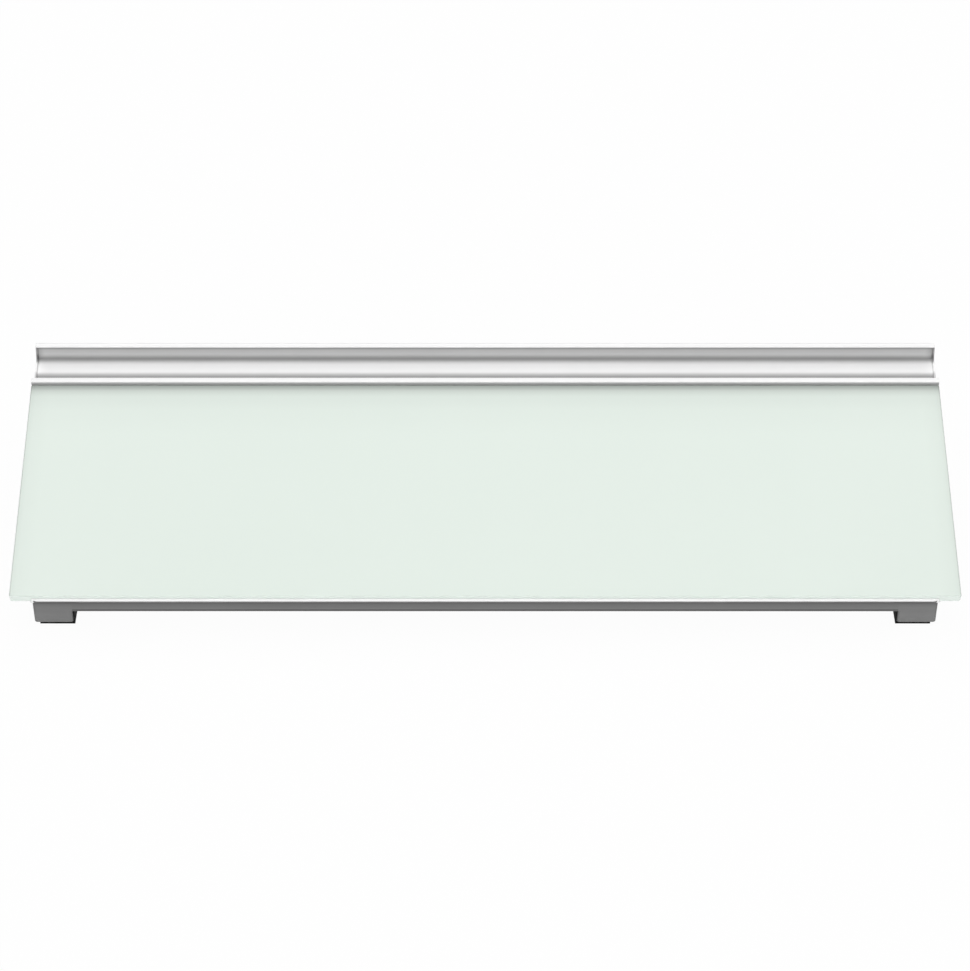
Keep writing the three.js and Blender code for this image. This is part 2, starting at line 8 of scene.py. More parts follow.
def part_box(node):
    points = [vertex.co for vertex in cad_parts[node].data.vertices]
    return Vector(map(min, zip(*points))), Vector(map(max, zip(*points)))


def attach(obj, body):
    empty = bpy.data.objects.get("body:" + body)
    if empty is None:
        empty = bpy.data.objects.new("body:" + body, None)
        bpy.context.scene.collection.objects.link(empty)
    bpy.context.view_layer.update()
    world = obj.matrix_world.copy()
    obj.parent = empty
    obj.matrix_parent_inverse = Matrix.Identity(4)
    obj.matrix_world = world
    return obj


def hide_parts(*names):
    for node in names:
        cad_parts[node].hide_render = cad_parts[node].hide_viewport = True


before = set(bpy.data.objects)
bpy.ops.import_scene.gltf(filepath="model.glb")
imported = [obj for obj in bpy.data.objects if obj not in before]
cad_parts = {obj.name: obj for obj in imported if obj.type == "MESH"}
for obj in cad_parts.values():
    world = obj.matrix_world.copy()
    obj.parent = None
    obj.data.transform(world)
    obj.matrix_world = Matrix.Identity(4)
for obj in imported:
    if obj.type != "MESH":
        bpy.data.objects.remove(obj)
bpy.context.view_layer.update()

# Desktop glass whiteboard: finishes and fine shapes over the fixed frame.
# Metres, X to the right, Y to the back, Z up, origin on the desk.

MM = 0.001

# Pane
PANE_TILT = math.radians(16.7)
PANE_THICKNESS = 4.8 * MM
PANE_LENGTH = 124.0 * MM
PANE_CORNER_RADIUS = 0.7 * MM
PANE_ARRIS = 0.3 * MM
PANE_ARRIS_STEPS = 5
PANE_CORNER_STEPS = 12

# Top shell, behind and under the pane
SEAT_GAP = 0.3 * MM
BED_THICKNESS = 2.2 * MM
BED_CORNER_RADIUS = 5.0 * MM
LIP_REACH = 0.4 * MM
LIP_DROP = 1.85 * MM
LIP_FACE = 1.25 * MM
LIP_CORNER_COVER = 0.15 * MM
LIP_GAP = 0.01 * MM
NOSE_THICKNESS = 0.6 * MM
SHELF_REACH = 6.0 * MM
RIDGE_RISE = 1.75 * MM
RIDGE_WIDTH = 3.9 * MM
RIDGE_EDGE_RADIUS = 0.8 * MM
TRAY_WIDTH = 18.6 * MM
TRAY_DEPTH = 7.6 * MM
TRAY_FRONT_COVE = 4.0 * MM
TRAY_REAR_COVE = 2.5 * MM
TRAY_WALL_LEAN = 0.9 * MM
TRAY_END_THICKNESS = 0.9 * MM
TRAY_END_RISE = 1.4 * MM
TRAY_FLOOR_THICKNESS = 2.4 * MM
RIM_EDGE_RADIUS = 1.55 * MM
RIM_BEAD_REACH = 1.0 * MM
RIM_BEAD_HEIGHT = 0.9 * MM
BEAD_EDGE_RADIUS = 0.2 * MM
FILLET_POINTS = 10

# Rounded edges of the moulded pieces
SHELL_EDGE = 0.40 * MM
LIP_EDGE = 0.12 * MM
END_WALL_EDGE = 0.3 * MM
BASE_EDGE = 0.25 * MM
SMALL_EDGE = 0.25 * MM
SOLE_EDGE = 0.12 * MM
EDGE_SEGMENTS = 3
EDGE_DEGREES = 35
SMOOTH_DEGREES = 40
FLAT_DEGREES = 0.5
WELD_REACH = 0.001 * MM

# Foot blocks of the base
FOOT_WIDTH = 19.3 * MM

# Grooves across the soles
GROOVE_COUNT = 8
GROOVE_WIDTH = 1.1 * MM
GROOVE_DEPTH = 0.45 * MM
GROOVE_END_INSET = 2.25 * MM

# Pan-head screws with a cross recess. The shares are of the head's radius and, for depths, of its height.
BASE_SCREW_HEAD = 2.0 * MM
DRAWER_SCREW_HEAD = 1.6 * MM
HEAD_SHAPE_SHARES = [(0.62, 0.0), (0.85, 0.12), (0.96, 0.35), (1.0, 0.65), (1.0, 1.0)]
SHANK_SHARE = 0.47
RECESS_WIDTH_SHARE = 0.30
RECESS_LENGTH_SHARE = 1.25
RECESS_DEPTH_SHARE = 0.60
SCREW_SIDES = 32

# Camera, from the photograph: picture sizes in pixels, places in metres
PICTURE_LONG_SIDE = 971
FOCAL_PIXELS = 2860
SENSOR_WIDTH = 36
CAMERA_ELEVATION = math.radians(40.0)
CAMERA_SIDE = -0.1 * MM
CAMERA_BACK = 1089.506 * MM
CAMERA_HEIGHT = 949.3 * MM
CAMERA_NEAR = 0.05
CAMERA_FAR = 50.0


# Shared helpers


def link(name, mesh):
    """A new object at the origin that shows a mesh."""
    piece = bpy.data.objects.new(name, mesh)
    bpy.context.scene.collection.objects.link(piece)
    return piece


def mesh_from(name, work):
    """A mesh made from a bmesh, which is then freed."""
    mesh = bpy.data.meshes.new(name)
    work.to_mesh(mesh)
    work.free()
    return mesh


def combine(piece, tool_mesh, operation):
    """Cuts or trims a piece with another mesh and keeps the result as a plain mesh."""
    tool = link(tool_mesh.name, tool_mesh)
    step = piece.modifiers.new("combine", "BOOLEAN")
    step.operation = operation
    step.solver = "EXACT"
    step.object = tool
    graph = bpy.context.evaluated_depsgraph_get()
    made = bpy.data.meshes.new_from_object(piece.evaluated_get(graph))
    piece.modifiers.remove(step)
    piece.data = made
    bpy.data.objects.remove(tool)


def settle(piece, body, slot, *nodes):
    """Ties a finished piece to its body and hides the frame's nodes that it stands for. The slot, which names
    its finish, is not used.
    """
    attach(piece, body)
    if nodes:
        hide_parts(*nodes)


def shade_smooth(mesh):
    mesh.polygons.foreach_set("use_smooth", [True] * len(mesh.polygons))


def shade_round(mesh):
    """Smooth shading that keeps the sharp edges."""
    shade_smooth(mesh)
    mesh.set_sharp_from_angle(angle=math.radians(SMOOTH_DEGREES))


def recoat(piece, material):
    """Leaves a piece with one material."""
    piece.data.materials.clear()
    piece.data.materials.append(material)


def add_bevel(piece, width):
    """Rounds the sharp edges of a moulding and keeps its flats flat."""
    bevel = piece.modifiers.new("rounded_edges", "BEVEL")
    bevel.width = width
    bevel.segments = EDGE_SEGMENTS
    bevel.limit_method = "ANGLE"
    bevel.angle_limit = math.radians(EDGE_DEGREES)
    bevel.miter_outer = "MITER_ARC"
    bevel.harden_normals = True
    shade_smooth(piece.data)


# Side profile: heights and stations under the writing surface

glass_low, glass_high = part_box("glass_panel")
shell_low, shell_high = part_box("top_shell")
base_low, base_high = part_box("base_shell")

GLASS_HALF = glass_high.x
BASE_HALF = base_high.x
FOOT_INNER_X = BASE_HALF - FOOT_WIDTH
GLASS_FRONT_Y = shell_low.y + LIP_REACH
GLASS_FRONT_Z = glass_low.z + PANE_THICKNESS * math.cos(PANE_TILT)
LIP_FRONT_Y = shell_low.y
RIM_BACK_Y = shell_high.y
BED_TOP_DEPTH = PANE_THICKNESS + SEAT_GAP
BED_UNDER_DEPTH = BED_TOP_DEPTH + BED_THICKNESS
TRAY_UNDER_DEPTH = TRAY_DEPTH + TRAY_FLOOR_THICKNESS
RIDGE_FRONT_Y = GLASS_FRONT_Y + (PANE_LENGTH + SEAT_GAP) * math.cos(PANE_TILT)
RIDGE_BACK_Y = RIDGE_FRONT_Y + RIDGE_WIDTH
RIM_FRONT_Y = RIDGE_BACK_Y + TRAY_WIDTH
SHELF_FRONT_Y = RIDGE_FRONT_Y - SHELF_REACH
WALL_TOP_Y = RIM_FRONT_Y + RIM_BEAD_REACH
WALL_FOOT_Y = WALL_TOP_Y - TRAY_WALL_LEAN


def plane_height(y, depth):
    """Height of the plane that lies a given depth under the writing surface."""
    run = (y - GLASS_FRONT_Y) * math.tan(PANE_TILT)
    return GLASS_FRONT_Z + run - depth / math.cos(PANE_TILT)


CORNER_Y = GLASS_FRONT_Y - SEAT_GAP * math.cos(PANE_TILT) + BED_TOP_DEPTH * math.sin(PANE_TILT)
NOSE_Y = CORNER_Y + LIP_CORNER_COVER
RIDGE_TOP_Z = plane_height(RIDGE_FRONT_Y, 0) + RIDGE_RISE
BEAD_BOTTOM_Z = plane_height(RIM_FRONT_Y, 0) - RIM_BEAD_HEIGHT
TRAY_REAR_FLOOR_Z = plane_height(WALL_FOOT_Y, TRAY_DEPTH)
LIP_BOTTOM_Z = GLASS_FRONT_Z - LIP_DROP - LIP_FACE


# Material building blocks


TEXTURE_RANGE = (0.30, 0.70)


class Finish:
    """A node-based material with a Principled shader and object coordinates."""

    def __init__(self, name):
        self.material = bpy.data.materials.new(name)
        self.material.use_nodes = True
        self.tree = self.material.node_tree
        self.tree.nodes.clear()
        self.output = self.add("ShaderNodeOutputMaterial")
        self.shader = self.add("ShaderNodeBsdfPrincipled")
        self.join(self.shader, "BSDF", self.output, "Surface")
        self.place = self.add("ShaderNodeTexCoord")

    def add(self, kind, **values):
        node = self.tree.nodes.new(kind)
        for key, value in values.items():
            setattr(node, key, value)
        return node

    def join(self, source, output, target, socket):
        self.tree.links.new(source.outputs[output], target.inputs[socket])

    def set(self, **values):
        for key, value in values.items():
            self.shader.inputs[key.replace("_", " ")].default_value = value

    def paint(self, colour):
        """Uses a colour as the shader's base colour."""
        self.tree.links.new(colour, self.shader.inputs["Base Color"])

    def noise(self, scale, detail, roughness=0.5):
        node = self.add("ShaderNodeTexNoise")
        node.inputs["Scale"].default_value = scale
        node.inputs["Detail"].default_value = detail
        node.inputs["Roughness"].default_value = roughness
        self.join(self.place, "Object", node, "Vector")
        return node

    def tint(self, texture, low, high, places=TEXTURE_RANGE):
        """Colour between two colours that follows a texture."""
        return self.ramp(texture, "Fac", zip(places, (low, high))).outputs["Color"]

    def ramp(self, source, output, stops):
        """Colour ramp from (place, colour) stops."""
        stops = list(stops)
        node = self.add("ShaderNodeValToRGB")
        ramp = node.color_ramp
        while len(ramp.elements) < len(stops):
            ramp.elements.new(0.5)
        for element, (place, colour) in zip(ramp.elements, stops):
            element.position = place
            element.color = colour
        self.join(source, output, node, "Fac")
        return node

    def spread(self, source, output, low, high, places=TEXTURE_RANGE):
        """Value between low and high that follows a texture or a distance."""
        node = self.add("ShaderNodeMapRange")
        node.inputs["From Min"].default_value = places[0]
        node.inputs["From Max"].default_value = places[1]
        node.inputs["To Min"].default_value = low
        node.inputs["To Max"].default_value = high
        self.join(source, output, node, "Value")
        return node

    def station(self, direction):
        """Distance along a direction, from the origin."""
        node = self.add("ShaderNodeVectorMath", operation="DOT_PRODUCT")
        node.inputs[1].default_value = direction
        self.join(self.place, "Object", node, 0)
        return node

    def from_line(self, y, z):
        """Distance from a line that runs across the board at (y, z)."""
        flat = self.add("ShaderNodeVectorMath", operation="MULTIPLY")
        flat.inputs[1].default_value = (0, 1, 1)
        self.join(self.place, "Object", flat, 0)
        node = self.add("ShaderNodeVectorMath", operation="DISTANCE")
        node.inputs[1].default_value = (0, y, z)
        self.join(flat, "Vector", node, 0)
        return node

    def from_end(self, half):
        """Distance inwards from the nearer end of a piece that reaches half to each side."""
        across = self.station((1, 0, 0))
        side = self.add("ShaderNodeMath", operation="ABSOLUTE")
        self.join(across, "Value", side, 0)
        node = self.add("ShaderNodeMath", operation="SUBTRACT")
        node.inputs[0].default_value = half
        self.join(side, "Value", node, 1)
        return node

    def shade(self, source, stops):
        """Painted shade: brightness from (distance, level) stops."""
        start, reach = stops[0][0], stops[-1][0]
        share = self.spread(source, "Value", 0.0, 1.0, (start, reach))
        levels = [((place - start) / (reach - start), grey(level)) for place, level in stops]
        return self.ramp(share, "Result", levels).outputs["Color"]

    def outside(self, direction, low, high, soft):
        """Zero between two planes and one from a little way outside them."""
        across = self.station(direction)
        off = self.add("ShaderNodeMath", operation="SUBTRACT")
        off.inputs[1].default_value = (low + high) / 2
        self.join(across, "Value", off, 0)
        side = self.add("ShaderNodeMath", operation="ABSOLUTE")
        self.join(off, "Value", side, 0)
        half = (high - low) / 2
        return self.spread(side, "Value", 0.0, 1.0, (half, half + soft)).outputs["Result"]

    def blend(self, kind, first, second):
        node = self.add("ShaderNodeMix", data_type="RGBA", blend_type=kind)
        node.inputs["Factor"].default_value = 1.0
        sockets = [item for item in node.inputs if item.type == "RGBA"]
        self.tree.links.new(first, sockets[0])
        self.tree.links.new(second, sockets[1])
        return [item for item in node.outputs if item.type == "RGBA"][0]

    def darken(self, colour, *shades):
        """Multiplies a colour by painted shades and hands the result on."""
        for shade in shades:
            colour = self.blend("MULTIPLY", colour, shade)
        return colour

    def lighten(self, shade, *limits):
        """Keeps a painted shade only where each limit is dark."""
        for limit in limits:
            shade = self.blend("LIGHTEN", shade, limit)
        return shade

    def bump(self, source, output, distance, strength):
        node = self.add("ShaderNodeBump")
        node.inputs["Distance"].default_value = distance
        node.inputs["Strength"].default_value = strength
        self.join(source, output, node, "Height")
        self.join(node, "Normal", self.shader, "Normal")


def grey(level):
    return (level, level, level, 1.0)


# Colours and textures: (scale, detail, roughness) of a noise, and the lowest and highest value that follow it
PAINT_COLOURS = ((0.662, 0.741, 0.681, 1.0), (0.674, 0.751, 0.692, 1.0))
PAINT_CLOUD = (9.0, 3.0)
GLASS_WIPE = (60.0, 6.0, 0.65)
GLASS_POLISH = (0.05, 0.11)
GLASS_IOR = 1.5
EDGE_COLOURS = ((0.79, 0.857, 0.81, 1.0), (0.80, 0.865, 0.82, 1.0))
EDGE_GRAIN = (420.0, 5.0)
EDGE_POLISH = (0.14, 0.18)
EDGE_GLOW = 0.6 * MM
PLASTIC_CLOUD = (14.0, 4.0)
PLASTIC_WEAR = (85.0, 5.0, 0.6)
PLASTIC_GRAIN_DETAIL = 2.0
PLASTIC_GRAIN_STRENGTH = 0.35
RUBBER_COLOURS = (grey(0.005), grey(0.013))
RUBBER_DUST = (220.0, 6.0, 0.7)
RUBBER_DUST_RANGE = (0.35, 0.80)
RUBBER_BLOOM = (0.72, 0.92)
RUBBER_SHINE = 0.12
RUBBER_GRAIN = (2400.0, 2.0)
RUBBER_GRAIN_HEIGHT = 0.04 * MM
RUBBER_GRAIN_STRENGTH = 0.5
STEEL_COLOURS = ((0.52, 0.53, 0.55, 1.0), (0.66, 0.66, 0.67, 1.0))
STEEL_FLOW = (900.0, 4.0)
STEEL_POLISH = (0.22, 0.40)


# Painted shade on the pane's paint: (distance from its rear edge, level), then (distance from its ends,
# level)
RIDGE_SHADE = [
    (0.0 * MM, 0.52),
    (0.5 * MM, 0.44),
    (0.9 * MM, 0.35),
    (1.4 * MM, 0.44),
    (2.0 * MM, 0.51),
    (2.7 * MM, 0.61),
    (3.3 * MM, 0.71),
    (4.5 * MM, 0.79),
    (5.7 * MM, 0.86),
    (7.0 * MM, 0.91),
    (10.0 * MM, 0.93),
    (15.0 * MM, 0.97),
    (30.0 * MM, 1.00),
]
END_SHADE = [
    (0.00 * MM, 0.70),
    (0.40 * MM, 0.74),
    (0.70 * MM, 0.92),
    (3.00 * MM, 0.97),
    (10.00 * MM, 1.00),
]

# Painted shade in the tray: (distance from a line in its section, level)
FRONT_SHADE_Y = RIDGE_BACK_Y + 1.5 * MM
FRONT_SHADE_Z = plane_height(RIDGE_BACK_Y, TRAY_DEPTH) - 3.65 * MM
REAR_CREVICE = [
    (0.5 * MM, 0.33),
    (0.9 * MM, 0.44),
    (1.5 * MM, 0.65),
    (2.1 * MM, 0.82),
    (2.7 * MM, 0.92),
    (3.3 * MM, 0.98),
    (4.0 * MM, 1.00),
]
FRONT_CREVICE = [
    (8.7 * MM, 0.28),
    (9.2 * MM, 0.31),
    (9.8 * MM, 0.43),
    (10.4 * MM, 0.56),
    (11.0 * MM, 0.75),
    (11.6 * MM, 0.92),
    (12.2 * MM, 1.00),
]
END_FRONT_CREVICE = [
    (8.7 * MM, 0.58),
    (10.4 * MM, 0.66),
    (12.2 * MM, 1.00),
]
END_REAR_CREVICE = [
    (0.0 * MM, 0.28),
    (2.2 * MM, 0.32),
    (3.2 * MM, 0.62),
    (4.2 * MM, 1.00),
]
BEAD_CREVICE = [
    (0.0 * MM, 0.60),
    (0.7 * MM, 0.64),
    (1.1 * MM, 0.78),
    (1.2 * MM, 1.00),
]
PANE_JOINT = [
    (0.0 * MM, 0.44),
    (0.9 * MM, 0.42),
    (1.2 * MM, 0.49),
    (1.5 * MM, 0.70),
    (1.8 * MM, 1.00),
]

# Painted shade on the tray's rear wall: (height under the bead, level), then (distance from the tray's end,
# level)
WALL_SHADE = [
    (0.0 * MM, 0.52),
    (1.3 * MM, 0.54),
    (1.9 * MM, 0.60),
    (2.5 * MM, 0.60),
    (3.1 * MM, 0.61),
    (3.7 * MM, 0.66),
    (4.2 * MM, 0.68),
    (4.8 * MM, 0.73),
    (5.5 * MM, 0.78),
    (6.1 * MM, 0.80),
    (6.6 * MM, 0.92),
    (7.4 * MM, 1.00),
]
CORNER_SHADE = [
    (0.0 * MM, 0.32),
    (5.0 * MM, 0.32),
    (7.0 * MM, 1.00),
]
WALL_END_SHADE = [
    (0.0 * MM, 0.45),
    (0.6 * MM, 0.45),
    (1.1 * MM, 0.68),
    (1.6 * MM, 0.78),
    (2.6 * MM, 0.86),
    (3.6 * MM, 0.95),
    (4.6 * MM, 1.00),
]
WALL_BAND_SOFT = 0.3 * MM
RIM_SHADE_SOFT = 0.3 * MM
# A slight painted shade over the top of the rim
RIM_SHADE = 0.93
CORNER_BAND_REACH = 2.0 * MM
CORNER_BAND_SOFT = 1.0 * MM

# Painted shade under the front lip, on the base by height, and at the base's ends
UNDERCUT_SHADE = 0.04
UNDERCUT_SOFT = 0.1 * MM
UNDERCUT_END = 2.8 * MM
BOTTOM_EDGE_SHADE = [
    (9.3 * MM, 0.56),
    (9.8 * MM, 1.00),
    (10.2 * MM, 0.98),
    (10.7 * MM, 0.92),
    (11.6 * MM, 0.93),
    (13.0 * MM, 1.00),
]
OVERHANG_SHADE = [
    (5.5 * MM, 1.00),
    (8.0 * MM, 0.91),
    (10.5 * MM, 0.90),
    (12.0 * MM, 0.78),
    (12.7 * MM, 0.71),
    (13.4 * MM, 0.50),
    (14.6 * MM, 0.46),
    (16.5 * MM, 0.74),
    (22.0 * MM, 0.86),
    (34.0 * MM, 0.92),
]
BASE_END_SHADE = [
    (0.0 * MM, 0.76),
    (0.4 * MM, 0.80),
    (1.5 * MM, 1.00),
]


def painted_glass():
    """Back-painted glass seen through its polished face. The paint lies under the glass; painted shade
    darkens its colour towards the ridge that stands along the pane's rear edge, and near the pane's ends."""
    finish = Finish("painted_glass")
    along = finish.station((0, -math.cos(PANE_TILT), -math.sin(PANE_TILT)))
    rear = GLASS_FRONT_Y * math.cos(PANE_TILT) + GLASS_FRONT_Z * math.sin(PANE_TILT) + PANE_LENGTH
    from_rear = finish.add("ShaderNodeMath", operation="ADD")
    from_rear.inputs[1].default_value = rear
    finish.join(along, "Value", from_rear, 0)
    colour = finish.darken(finish.tint(finish.noise(*PAINT_CLOUD), *PAINT_COLOURS),
                           finish.shade(from_rear, RIDGE_SHADE),
                           finish.shade(finish.from_end(GLASS_HALF), END_SHADE))
    finish.paint(colour)
    polish = finish.spread(finish.noise(*GLASS_WIPE), "Fac", *GLASS_POLISH)
    finish.join(polish, "Result", finish.shader, "Roughness")
    finish.set(IOR=GLASS_IOR)
    return finish.material


def glass_edge():
    """Ground and polished glass edge, greener than the face."""
    finish = Finish("glass_edge")
    grain = finish.noise(*EDGE_GRAIN)
    finish.paint(finish.tint(grain, *EDGE_COLOURS))
    finish.join(finish.spread(grain, "Fac", *EDGE_POLISH), "Result", finish.shader, "Roughness")
    finish.set(IOR=GLASS_IOR, Subsurface_Weight=1.0, Subsurface_Radius=(1.0, 1.0, 1.0),
               Subsurface_Scale=EDGE_GLOW)
    return finish.material


def no_shades(finish):
    """No painted shade, for pieces that are out of the light."""
    return []


def rear_wall_shade(finish, stops, near, soft):
    """Painted shade by height on what stands under the rim's bead, from a near plane backwards."""
    under_bead = finish.add("ShaderNodeMath", operation="SUBTRACT")
    under_bead.inputs[0].default_value = BEAD_BOTTOM_Z
    finish.join(finish.station((0, 0, 1)), "Value", under_bead, 1)
    wall = finish.shade(under_bead, stops)
    beside = finish.outside((0, 1, 0), near, WALL_TOP_Y, soft)
    above = finish.outside((0, 0, 1), 0, BEAD_BOTTOM_Z, WALL_BAND_SOFT)
    return finish.lighten(wall, beside, above)


def crevice(finish, y, z, stops):
    """Painted shade by distance from a line that runs across the board."""
    return finish.shade(finish.from_line(y, z), stops)


def tray_shades(finish):
    """Painted shade in the tray's coves, under the rim's bead, beside the pane, over the rear wall and its
    ends and on the rim.
    """
    ends = finish.lighten(finish.shade(finish.from_end(GLASS_HALF), WALL_END_SHADE),
                          finish.outside((0, 1, 0), WALL_FOOT_Y, WALL_TOP_Y, WALL_BAND_SOFT),
                          finish.outside((0, 0, 1), 0, BEAD_BOTTOM_Z, WALL_BAND_SOFT))
    rim = finish.lighten(finish.shade(finish.station((0, 1, 0)),
                                      [(RIM_FRONT_Y - RIM_SHADE_SOFT, 1.0), (RIM_FRONT_Y, RIM_SHADE)]),
                         finish.outside((0, 0, 1), BEAD_BOTTOM_Z, shell_high.z, WALL_BAND_SOFT))
    return [
        rear_wall_shade(finish, WALL_SHADE, WALL_FOOT_Y, WALL_BAND_SOFT),
        ends,
        crevice(finish, WALL_FOOT_Y, TRAY_REAR_FLOOR_Z, REAR_CREVICE),
        crevice(finish, FRONT_SHADE_Y, FRONT_SHADE_Z, FRONT_CREVICE),
        crevice(finish, WALL_TOP_Y, BEAD_BOTTOM_Z, BEAD_CREVICE),
        crevice(finish, RIDGE_FRONT_Y, plane_height(RIDGE_FRONT_Y, 0), PANE_JOINT),
        rim,
    ]


def tray_end_shades(finish):
    """Painted shade on the low walls at the tray's ends, deepest in the rear corner."""
    return [
        rear_wall_shade(finish, CORNER_SHADE, WALL_FOOT_Y - CORNER_BAND_REACH, CORNER_BAND_SOFT),
        crevice(finish, WALL_FOOT_Y, TRAY_REAR_FLOOR_Z, END_REAR_CREVICE),
        crevice(finish, FRONT_SHADE_Y, FRONT_SHADE_Z, END_FRONT_CREVICE),
    ]


def bed_shades(finish):
    """Painted shade, nearly black, in the undercut below the front lip."""
    under = finish.shade(finish.station((0, 0, 1)),
                         [(LIP_BOTTOM_Z - UNDERCUT_SOFT, UNDERCUT_SHADE), (LIP_BOTTOM_Z, 1.0)])
    half = BASE_HALF - UNDERCUT_END
    return [finish.lighten(under, finish.outside((1, 0, 0), -half, half, SMALL_EDGE))]


def base_shades(finish):
    """Painted shade on the base's walls: deeper towards the board that stands out over them,
    in a line along the bottom edge between the feet, and at the base's ends.
    """
    height = finish.station((0, 0, 1))
    between_feet = finish.outside((1, 0, 0), -FOOT_INNER_X, FOOT_INNER_X, SMALL_EDGE)
    return [
        finish.shade(height, OVERHANG_SHADE),
        finish.lighten(finish.shade(height, BOTTOM_EDGE_SHADE), between_feet),
        finish.shade(finish.from_end(BASE_HALF), BASE_END_SHADE),
    ]


def moulded_plastic(name, low, high, rough_low, rough_high, grain_scale, grain_height, shades=no_shades):
    """Moulded plastic: slight clouding, an even fine grain, a satin sheen and painted shade in its crevices.
    """
    finish = Finish(name)
    colour = finish.darken(finish.tint(finish.noise(*PLASTIC_CLOUD), low, high), *shades(finish))
    finish.paint(colour)
    satin = finish.spread(finish.noise(*PLASTIC_WEAR), "Fac", rough_low, rough_high)
    finish.join(satin, "Result", finish.shader, "Roughness")
    grain = finish.noise(grain_scale, PLASTIC_GRAIN_DETAIL)
    finish.bump(grain, "Fac", grain_height, PLASTIC_GRAIN_STRENGTH)
    return finish.material


def black_rubber():
    """Matt rubber with a dusty bloom."""
    finish = Finish("black_rubber")
    dust = finish.noise(*RUBBER_DUST)
    finish.paint(finish.tint(dust, *RUBBER_COLOURS, RUBBER_DUST_RANGE))
    finish.join(finish.spread(dust, "Fac", *RUBBER_BLOOM), "Result", finish.shader, "Roughness")
    finish.set(Specular_IOR_Level=RUBBER_SHINE)
    finish.bump(finish.noise(*RUBBER_GRAIN), "Fac", RUBBER_GRAIN_HEIGHT, RUBBER_GRAIN_STRENGTH)
    return finish.material


def plated_steel():
    """Bright zinc plate on screws."""
    finish = Finish("plated_steel")
    flow = finish.noise(*STEEL_FLOW)
    finish.paint(finish.tint(flow, *STEEL_COLOURS))
    finish.join(finish.spread(flow, "Fac", *STEEL_POLISH), "Result", finish.shader, "Roughness")
    finish.set(Metallic=1.0)
    return finish.material


PAINTED_GLASS = painted_glass()
GLASS_EDGE = glass_edge()

# Plastics: two colours, least and most roughness, scale and height of the grain
WHITE = (grey(0.95), grey(0.97), 0.30, 0.42, 1800.0, 0.02 * MM)
MID_GREY = (grey(0.208), grey(0.226), 0.42, 0.58, 1500.0, 0.06 * MM)
PALE = ((0.74, 0.74, 0.70, 1.0), (0.79, 0.79, 0.75, 1.0), 0.34, 0.46, 900.0, 0.02 * MM)
FOAM = (grey(0.62), grey(0.70), 0.80, 0.95, 700.0, 0.08 * MM)

# Painted shade rides on the tray, bed, tray-end and base plastics; the drawer, pale and foam plastics have
# none.
TRAY_PLASTIC = moulded_plastic("tray_plastic", *WHITE, tray_shades)
BED_PLASTIC = moulded_plastic("bed_plastic", *WHITE, bed_shades)
TRAY_END_PLASTIC = moulded_plastic("tray_end_plastic", *WHITE, tray_end_shades)
BASE_PLASTIC = moulded_plastic("base_plastic", *MID_GREY, base_shades)
DRAWER_PLASTIC = moulded_plastic("drawer_plastic", *MID_GREY)
PALE_PLASTIC = moulded_plastic("pale_plastic", *PALE)
BLACK_RUBBER = black_rubber()
PLATED_STEEL = plated_steel()
FOAM_TAPE = moulded_plastic("foam_tape", *FOAM)


# Pane


def rounded_plan(half, near, far, radius, steps):
    """Points of a rounded rectangle in plan, counter-clockwise."""
    centres = [
        (half - radius, far - radius, 0.0),
        (-half + radius, far - radius, math.pi / 2),
        (-half + radius, near + radius, math.pi),
        (half - radius, near + radius, math.pi * 1.5),
    ]
    points = []
    for x, y, start in centres:
        for step in range(steps + 1):
            angle = start + math.pi / 2 * step / steps
            points.append((x + radius * math.cos(angle), y + radius * math.sin(angle)))
    return points


def pane_levels():
    """(inset, depth) of each ring from the top face round the edge to the underside."""
    quarter = [math.pi / 2 * step / PANE_ARRIS_STEPS for step in range(PANE_ARRIS_STEPS + 1)]
    top = [(PANE_ARRIS * (1 - math.sin(a)), PANE_ARRIS * (1 - math.cos(a))) for a in quarter]
    under = [(inset, PANE_THICKNESS - depth) for inset, depth in reversed(top)]
    return top + under


def build_pane():
    """Glass pane with a rounded arris all round, tilted about its top front edge."""
    work = bmesh.new()
    rings = []
    for inset, depth in pane_levels():
        plan = rounded_plan(GLASS_HALF - inset, inset, PANE_LENGTH - inset,
                            PANE_CORNER_RADIUS - inset, PANE_CORNER_STEPS)
        rings.append([work.verts.new((x, y, -depth)) for x, y in plan])
    top = work.faces.new(rings[0])
    under = work.faces.new(list(reversed(rings[-1])))
    top.material_index = under.material_index = 0
    for level, (upper, lower) in enumerate(zip(rings, rings[1:])):
        for index in range(len(upper)):
            after = (index + 1) % len(upper)
            side = work.faces.new((upper[after], upper[index], lower[index], lower[after]))
            side.material_index = 0 if level < PANE_ARRIS_STEPS else 1
            side.smooth = True
    bmesh.ops.recalc_face_normals(work, faces=work.faces)
    place = Matrix.Translation((0, GLASS_FRONT_Y, GLASS_FRONT_Z)) @ Matrix.Rotation(PANE_TILT, 4, "X")
    bmesh.ops.transform(work, matrix=place, verts=work.verts)
    mesh = mesh_from("pane", work)
    mesh.materials.append(PAINTED_GLASS)
    mesh.materials.append(GLASS_EDGE)
    settle(link("pane", mesh), "base", "painted_glass", "glass_panel")


# Swept mouldings: a side profile with rounded corners, run straight across the board


